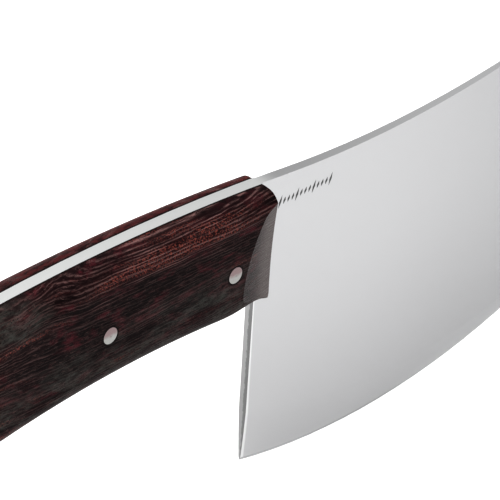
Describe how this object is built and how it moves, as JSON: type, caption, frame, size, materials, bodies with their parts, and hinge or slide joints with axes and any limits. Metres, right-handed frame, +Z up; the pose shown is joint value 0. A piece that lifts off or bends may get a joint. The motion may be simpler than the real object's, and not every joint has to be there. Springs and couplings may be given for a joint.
{
  "type": "meat cleaver",
  "caption": "Full-tang meat cleaver with a deep curved steel blade, an upswept nose and rounded dark wood scales pinned to the tang.",
  "frame": {"origin": "centre of the grip: the axis of the middle handle pin, on the blade's middle plane", "axes": "+X forward along the blade to its nose, +Y across the thickness to the right-hand scale, +Z up from the cutting edge to the spine"},
  "size_m": [0.3031, 0.0206, 0.1064],
  "materials": {
    "blade_steel": "fine satin",
    "scale_wood": "semi-gloss oiled dark striped hardwood",
    "bedding": "black epoxy glue line",
    "pin_steel": "bright, sanded flush"
  },
  "bodies": {
    "root": {"blade": "blade_steel", "left_scale": "scale_wood", "right_scale": "scale_wood", "left_bedding": "bedding", "right_bedding": "bedding", "front_pin": "pin_steel", "middle_pin": "pin_steel", "rear_pin": "pin_steel"}
  },
  "joints": []
}
